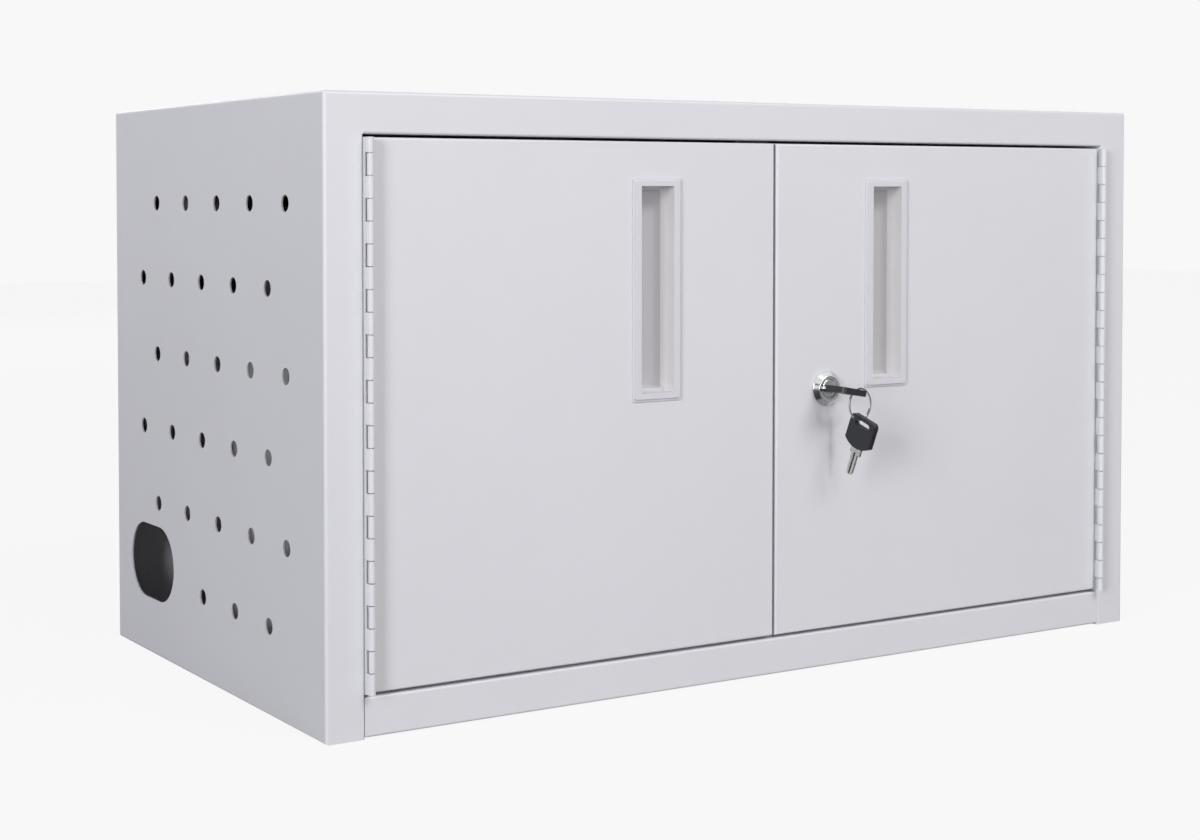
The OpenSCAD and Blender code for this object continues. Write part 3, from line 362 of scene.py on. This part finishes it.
# The finish of each CAD node, by the operator that dresses it
CASE_NODES = {"outer_wrap": "paint", "bottom_rail": "paint", "back_panel": "paint"}
HIDDEN_CASE_NODES = {"door_stop": "paint", "door_bumpers": "rubber"}
DOOR_NODES = {"left_door": "paint", "right_door": "paint"}
PULL_NODES = {"left_pull": "pull_paint", "right_pull": "pull_paint"}
BOLT_NODES = {"slide_bolt_guides": "zinc", "upper_slide_bolt": "zinc",
              "lower_slide_bolt": "zinc"}
HINGE_NODES = {
    "left_hinge_frame_leaf": "paint", "left_hinge_door_leaf": "paint",
    "left_hinge_pin": "steel", "right_hinge_frame_leaf": "paint",
    "right_hinge_door_leaf": "paint", "right_hinge_pin": "steel",
}
LATCH_NODES = {
    "lock_nut": "zinc", "lock_cam": "zinc", "cam_screw": "zinc", "upper_latch_rod": "zinc",
    "lower_latch_rod": "zinc", "latch_rod_guides": "paint",
}
GRIP_NODES = {"key_bow": "key_grip", "spare_key_bow": "key_grip"}
INSIDE_NODES = {
    "rack_tray": "paint", "tablet_dividers": "paint", "partition_panel": "paint",
    "partition_brackets": "paint", "partition_screws": "zinc",
    "cable_slot_grommets": "rubber",
}
STRIP_NODES = {
    "strip_housing": "housing", "strip_end_cap_left": "strip_black",
    "strip_end_cap_right": "strip_black", "strip_outlets": "strip_black",
    "bus_bars": "copper", "mains_inlet": "strip_black", "inlet_pins": "chrome",
    "rocker_bezel": "strip_black", "rocker_switch": "red", "breaker_collar": "strip_black",
    "breaker_button": "white", "strip_brackets": "zinc", "strip_nuts": "zinc",
}

BODY_OF = {node: body for body, nodes in frame["record"]["behaviour"]["bodies"].items()
           for node in nodes}


def dress(nodes):
    """Gives each carried-over CAD node its finish."""
    for name, key in nodes.items():
        slots = frame["nodes"][name].material_slots
        if not slots:
            raise RuntimeError("no material slot on " + name)
        for slot in slots:
            slot.material = finish_named(key)


def mesh_from(shape, name):
    """A finished shape's mesh; the shape itself is freed."""
    mesh = bpy.data.meshes.new(name)
    shape.to_mesh(mesh)
    shape.free()
    return mesh


def add_object(name, data):
    """An object for a mesh, lamp or camera, linked to the scene."""
    made = bpy.data.objects.new(name, data)
    bpy.context.scene.collection.objects.link(made)
    return made


def cad_copy(name):
    """A bmesh with a CAD node's shape, its loose triangles merged into whole faces."""
    shape = bmesh.new()
    shape.from_mesh(frame["nodes"][name].data)
    bmesh.ops.remove_doubles(shape, verts=shape.verts, dist=SAME_POINT)
    bmesh.ops.dissolve_limit(shape, angle_limit=ONE_FACE, verts=shape.verts,
                             edges=shape.edges)
    bmesh.ops.recalc_face_normals(shape, faces=shape.faces)
    return shape


def round_edges(shape, width, segments):
    """Rounds the cut edges."""
    edges = [edge for edge in shape.edges
             if edge.is_manifold and edge.calc_face_angle() > CUT_EDGE]
    bmesh.ops.bevel(shape, geom=edges, offset=width, offset_type="OFFSET", segments=segments,
                    profile=0.5, affect="EDGES", clamp_overlap=True, material=-1)


def set_piece(shape, name, key, node):
    """Makes the object of a finished shape, which stands for a CAD node."""
    mesh = mesh_from(shape, name)
    mesh.shade_smooth()
    mesh.set_sharp_from_angle(angle=CUT_EDGE)
    mesh.materials.append(finish_named(key))
    piece = add_object(name, mesh)
    even = piece.modifiers.new("even_shading", "WEIGHTED_NORMAL")
    even.keep_sharp = True
    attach(piece, BODY_OF[node])
    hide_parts(node)
    return piece


def soften(nodes, width, segments=2):
    """Copies CAD nodes with the edges rounded, as paint, plating and moulding leave them."""
    for name, key in nodes.items():
        shape = cad_copy(name)
        round_edges(shape, width, segments)
        set_piece(shape, name + "_finished", key, name)


def recessed_pull(name, key, width):
    """A pull with softened edges; its cup's back is coloured darker as painted shade and its walls
    lighter as painted light.
    """
    shape = cad_copy(name)
    corners = [vertex.co for vertex in shape.verts]
    front = min(co.y for co in corners)
    middle = (max(co.x for co in corners) + min(co.x for co in corners)) / 2
    height = (max(co.z for co in corners) + min(co.z for co in corners)) / 2
    for face in shape.faces:
        centre, normal = face.calc_center_median(), face.normal
        inwards = (centre.x - middle) * normal.x + (centre.z - height) * normal.z
        if centre.y < front + CUP_STARTS or normal.y > LOOKS_REAR:
            continue
        # The cup's back faces get the painted shade colour, its inward walls the painted light
        # colour
        if normal.y < LOOKS_FRONT:
            face.material_index = 1
        elif inwards < 0:
            face.material_index = 2
    round_edges(shape, width, 3)
    piece = set_piece(shape, name + "_finished", key, name)
    piece.data.materials.append(finish_named("painted_shade_cup_back"))
    piece.data.materials.append(finish_named("painted_light_cup_wall"))


def flat_axis(shape):
    """The direction across a flat piece: the normal that most of its area has."""
    areas = {}
    for face in shape.faces:
        normal = face.normal if face.normal.x > 0 else -face.normal
        key = tuple(round(value, 2) for value in normal)
        areas[key] = areas.get(key, 0.0) + face.calc_area()
    return Vector(max(areas, key=areas.get)).normalized()


def key_blade(name, width):
    """A key's blade with softened edges, the floors of its machined grooves left dull and coloured
    dark as painted shade.
    """
    shape = cad_copy(name)
    across = flat_axis(shape)
    places = [vertex.co.dot(across) for vertex in shape.verts]
    middle, half = (max(places) + min(places)) / 2, (max(places) - min(places)) / 2
    for face in shape.faces:
        off = abs(face.calc_center_median().dot(across) - middle)
        # Groove floors take the dark finish: painted shade
        if abs(face.normal.dot(across)) > LIES_FLAT and off < GROOVE_SHARE * half:
            face.material_index = 1
    round_edges(shape, width, 2)
    piece = set_piece(shape, name + "_finished", "nickel", name)
    piece.data.materials.append(finish_named("shaded_groove"))


def spun(profile, centre, axis, steps):
    """Spins a closed line of (radius, place along the axis) points into a ring."""
    shape = bmesh.new()
    side = Vector((1, 0, 0)) if abs(axis.x) < ALONG_X else Vector((0, 0, 1))
    out = (side - axis * side.dot(axis)).normalized()
    dots = [shape.verts.new(centre + out * radius + axis * along) for radius, along in profile]
    lines = [shape.edges.new(pair) for pair in zip(dots, dots[1:])]
    lines.append(shape.edges.new((dots[-1], dots[0])))
    bmesh.ops.spin(shape, geom=dots + lines, cent=centre, axis=axis, angle=2 * math.pi,
                   steps=steps, use_merge=True)
    bmesh.ops.remove_doubles(shape, verts=shape.verts, dist=SAME_POINT)
    bmesh.ops.recalc_face_normals(shape, faces=shape.faces)
    return shape


def ring_place():
    """The key ring's middle, axis, inner and outer radius and half width, from its node."""
    points = [vertex.co for vertex in frame["nodes"]["key_ring"].data.vertices]
    centre = sum((Vector(p) for p in points), Vector()) / len(points)
    spread = [Vector(p) - centre for p in points]
    axis = Vector(frame_joint("ring_turn")["axis"]).normalized()
    low = min((d - axis * d.dot(axis)).length for d in spread)
    high = max((d - axis * d.dot(axis)).length for d in spread)
    return centre, axis, low, high, max(d.dot(axis) for d in spread)


def frame_joint(name):
    """A joint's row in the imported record."""
    return next(j for j in frame["record"]["behaviour"]["joints"] if j["name"] == name)


def split_ring(soft):
    """A split key ring: two turns of flat wire side by side, with a groove between them."""
    centre, axis, low, high, half = ring_place()
    turn = [(low, INNER_LIP), (low, CORNER), (low + soft, 1.0), (high - soft, 1.0),
            (high, CORNER), (high, OUTER_LIP)]
    profile = [(radius, part * half) for radius, part in turn]
    profile += [(high - RING_GROOVE, 0.0)]
    profile += [(radius, -part * half) for radius, part in reversed(turn)]
    profile += [(low + RING_GROOVE, 0.0)]
    shape = spun(profile, centre, axis, RING_STEPS)
    set_piece(shape, "split_key_ring", "chrome", "key_ring")


def bead(name, node, radius, place, thickness):
    """A fine round bead about the lock's axis, on the face of the lock."""
    joint = frame_joint("lock_turn")
    axis = Vector(joint["axis"]).normalized()
    turns = [2 * math.pi * side / BEAD_SIDES for side in range(BEAD_SIDES)]
    profile = [(radius + thickness * math.cos(t), place + thickness * math.sin(t))
               for t in turns]
    mesh = mesh_from(spun(profile, Vector(joint["pos_m"]), axis, BEAD_STEPS), name)
    mesh.shade_smooth()
    mesh.materials.append(finish_named("chrome"))
    piece = add_object(name, mesh)
    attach(piece, BODY_OF[node])


def front_of(node):
    """How far a node's front stands out along the lock's axis, and its radius there."""
    joint = frame_joint("lock_turn")
    centre, axis = Vector(joint["pos_m"]), Vector(joint["axis"]).normalized()
    spread = [vertex.co - centre for vertex in frame["nodes"][node].data.vertices]
    front = max(d.dot(axis) for d in spread)
    rim = [d for d in spread if d.dot(axis) > front - FRONT_DEPTH]
    return front, max((d - axis * d.dot(axis)).length for d in rim)


def lock_face():
    """The lock's body and plug, with the rolled rims and rings of a turned die casting."""
    soften({"lock_body": "chrome", "lock_plug": "chrome"}, TURNED_EDGE, 3)
    for name, node, ring in (("lock_rim_bead", "lock_body", RIM_RING),
                             ("lock_plug_bead", "lock_plug", PLUG_RING)):
        out, rim = front_of(node)
        inwards, deep, thickness = ring
        bead(name, node, rim - inwards, out - deep, thickness)


class BOX_OT_case(bpy.types.Operator):
    """Finishes the case, its stop and its bumpers"""

    bl_idname = "box.case"
    bl_label = "Case"

    def execute(self, context):
        dress(HIDDEN_CASE_NODES)
        soften(CASE_NODES, context.scene.box_sizes.edge)
        return {"FINISHED"}


class BOX_OT_doors(bpy.types.Operator):
    """Finishes the doors, pulls and slide bolts"""

    bl_idname = "box.doors"
    bl_label = "Doors"

    def execute(self, context):
        sizes = context.scene.box_sizes
        soften(DOOR_NODES, sizes.edge)
        for name, key in PULL_NODES.items():
            recessed_pull(name, key, sizes.pull_edge)
        soften(BOLT_NODES, sizes.edge)
        return {"FINISHED"}


class BOX_OT_hinges(bpy.types.Operator):
    """Finishes the continuous hinges"""

    bl_idname = "box.hinges"
    bl_label = "Hinges"

    def execute(self, context):
        soften(HINGE_NODES, HINGE_EDGE)
        return {"FINISHED"}


class BOX_OT_lock(bpy.types.Operator):
    """Finishes the lock and the latch rods"""

    bl_idname = "box.lock"
    bl_label = "Lock"

    def execute(self, context):
        soften(LATCH_NODES, context.scene.box_sizes.edge)
        lock_face()
        return {"FINISHED"}


class BOX_OT_keys(bpy.types.Operator):
    """Finishes the keys and their ring"""

    bl_idname = "box.keys"
    bl_label = "Keys"

    def execute(self, context):
        sizes = context.scene.box_sizes
        for name in ("key_blade", "spare_key_blade"):
            key_blade(name, sizes.edge)
        soften(GRIP_NODES, sizes.grip_edge, 3)
        split_ring(sizes.edge)
        return {"FINISHED"}


class BOX_OT_inside(bpy.types.Operator):
    """Finishes the rack and the partition"""

    bl_idname = "box.inside"
    bl_label = "Rack and partition"

    def execute(self, context):
        soften(INSIDE_NODES, context.scene.box_sizes.edge)
        return {"FINISHED"}


class BOX_OT_strip(bpy.types.Operator):
    """Finishes the power strip in the rear compartment"""

    bl_idname = "box.strip"
    bl_label = "Power strip"

    def execute(self, context):
        soften(STRIP_NODES, context.scene.box_sizes.moulded_edge)
        return {"FINISHED"}


def pale_surface():
    """Seamless studio paper: the camera sees its grey as written, less a share of shadow."""
    surface = bpy.data.materials.new("pale_floor")
    surface.use_nodes = True
    tree = surface.node_tree
    tree.nodes.clear()
    path = add(tree, "ShaderNodeLightPath")
    plain = add(tree, "ShaderNodeBsdfDiffuse", {"Color": linear(BOUNCE)})
    glow = add(tree, "ShaderNodeEmission", {"Color": linear(BACKDROP), "Strength": FLOOR_GLOW})
    level = add(tree, "ShaderNodeMath", {
        0: path.outputs["Is Camera Ray"], 1: 1.0 - FLOOR_SHADOW}, operation="MULTIPLY")
    mix = add(tree, "ShaderNodeMixShader", {
        0: level.outputs[0], 1: plain.outputs[0], 2: glow.outputs[0]})
    add(tree, "ShaderNodeOutputMaterial", {"Surface": mix.outputs[0]})
    return surface


def lay_floor():
    """The pale floor that the box stands on."""
    shape = bmesh.new()
    bmesh.ops.create_grid(shape, x_segments=1, y_segments=1, size=FLOOR_HALF)
    floor = add_object("floor", mesh_from(shape, "floor"))
    floor.data.materials.append(pale_surface())


def hang_backdrop(scene):
    """A studio all round: the camera and reflections see it pale, shadows get a faint fill."""
    world = bpy.data.worlds.new("pale_studio")
    scene.world = world
    world.use_nodes = True
    tree = world.node_tree
    tree.nodes.clear()
    path = add(tree, "ShaderNodeLightPath")
    seen = add(tree, "ShaderNodeBackground", {"Color": linear(BACKDROP), "Strength": 1.0})
    fill = add(tree, "ShaderNodeBackground", {
        "Color": linear(FILL), "Strength": FILL_STRENGTH})
    direct = add(tree, "ShaderNodeMath", {
        0: path.outputs["Is Camera Ray"], 1: path.outputs["Is Glossy Ray"]}, operation="ADD")
    through = add(tree, "ShaderNodeMath", {
        0: direct.outputs[0], 1: path.outputs["Is Transmission Ray"]}, operation="ADD")
    mix = add(tree, "ShaderNodeMixShader", {
        0: through.outputs[0], 1: fill.outputs[0], 2: seen.outputs[0]})
    add(tree, "ShaderNodeOutputWorld", {"Surface": mix.outputs[0]})


def soft_light(name, place, target, width, height, power, colour):
    """A large rectangular lamp at a place, turned to a target."""
    lamp = bpy.data.lights.new(name, "AREA")
    lamp.shape = "RECTANGLE"
    lamp.size = width
    lamp.size_y = height
    lamp.energy = power
    lamp.color = linear(colour)[:3]
    stand = add_object(name, lamp)
    stand.location = place
    aim = Vector(target) - Vector(place)
    stand.rotation_euler = aim.to_track_quat("-Z", "Y").to_euler()


def dark_card(name, place, target, width, height):
    """A dark felt card that only reflections show, at a place and facing a target."""
    shape = bmesh.new()
    # A square of one metre, scaled to the card's sides
    bmesh.ops.create_grid(shape, x_segments=1, y_segments=1, size=0.5)
    bmesh.ops.scale(shape, vec=(width, height, 1), verts=shape.verts)
    aim = Vector(target) - Vector(place)
    turn = aim.to_track_quat("-Z", "Y").to_matrix().to_4x4()
    bmesh.ops.transform(shape, matrix=Matrix.Translation(place) @ turn, verts=shape.verts)
    card = add_object(name, mesh_from(shape, name))
    felt = {"Base Color": linear("1c1c1e"), "Roughness": 0.9}
    card.data.materials.append(new_finish(name + "_felt", **felt)[0])
    card.visible_camera = False
    card.visible_diffuse = False
    card.visible_shadow = False


def place_camera():
    """The camera at the photograph's viewing angle."""
    camera = bpy.data.cameras.new("photo_camera")
    camera.sensor_width = 36.0
    camera.lens = LENS
    camera.shift_x = SHIFT_X
    camera.shift_y = SHIFT_Y
    camera.clip_end = 50.0
    eye = add_object("photo_camera", camera)
    eye.location = EYE
    look = (Matrix.Rotation(HEADING, 4, "Z") @ Matrix.Rotation(math.pi / 2 + TILT, 4, "X")
            @ Matrix.Rotation(ROLL, 4, "Z"))
    eye.rotation_euler = look.to_euler()
    bpy.context.scene.camera = eye


class BOX_OT_stage(bpy.types.Operator):
    """Sets the pale floor, the soft lights and the camera"""

    bl_idname = "box.stage"
    bl_label = "Stage"

    def execute(self, context):
        lay_floor()
        hang_backdrop(context.scene)
        for name, row in LAMPS.items():
            soft_light(name, *row)
        # Seen only in reflections, these give the chrome its contrast
        for name, row in CARDS.items():
            dark_card(name, *row)
        place_camera()
        context.scene.view_settings.view_transform = "Standard"
        return {"FINISHED"}


class BOX_PT_panel(bpy.types.Panel):
    """The charging box's pieces, in the sidebar"""

    bl_label = "Charging Box"
    bl_idname = "BOX_PT_panel"
    bl_space_type = "VIEW_3D"
    bl_region_type = "UI"
    bl_category = "Charging Box"

    def draw(self, context):
        for operator in OPERATORS:
            self.layout.operator(operator.bl_idname)
        for group in (context.scene.box_finishes, context.scene.box_sizes):
            for name in group.__annotations__:
                self.layout.prop(group, name)


OPERATORS = (BOX_OT_case, BOX_OT_doors, BOX_OT_hinges, BOX_OT_lock, BOX_OT_keys,
             BOX_OT_inside, BOX_OT_strip, BOX_OT_stage)
CLASSES = (BoxFinishes, BoxSizes) + OPERATORS + (BOX_PT_panel,)


def register():
    """Adds the classes and the scene's settings."""
    for cls in CLASSES:
        bpy.utils.register_class(cls)
    bpy.types.Scene.box_finishes = bpy.props.PointerProperty(type=BoxFinishes)
    bpy.types.Scene.box_sizes = bpy.props.PointerProperty(type=BoxSizes)


def unregister():
    """Removes what register added."""
    del bpy.types.Scene.box_sizes
    del bpy.types.Scene.box_finishes
    for cls in reversed(CLASSES):
        bpy.utils.unregister_class(cls)


def main():
    """Makes every piece in order."""
    register()
    for operator in OPERATORS:
        group, name = operator.bl_idname.split(".")
        if getattr(getattr(bpy.ops, group), name)() != {"FINISHED"}:
            raise RuntimeError(operator.bl_idname + " did not finish")


if __name__ == "__main__":
    main()
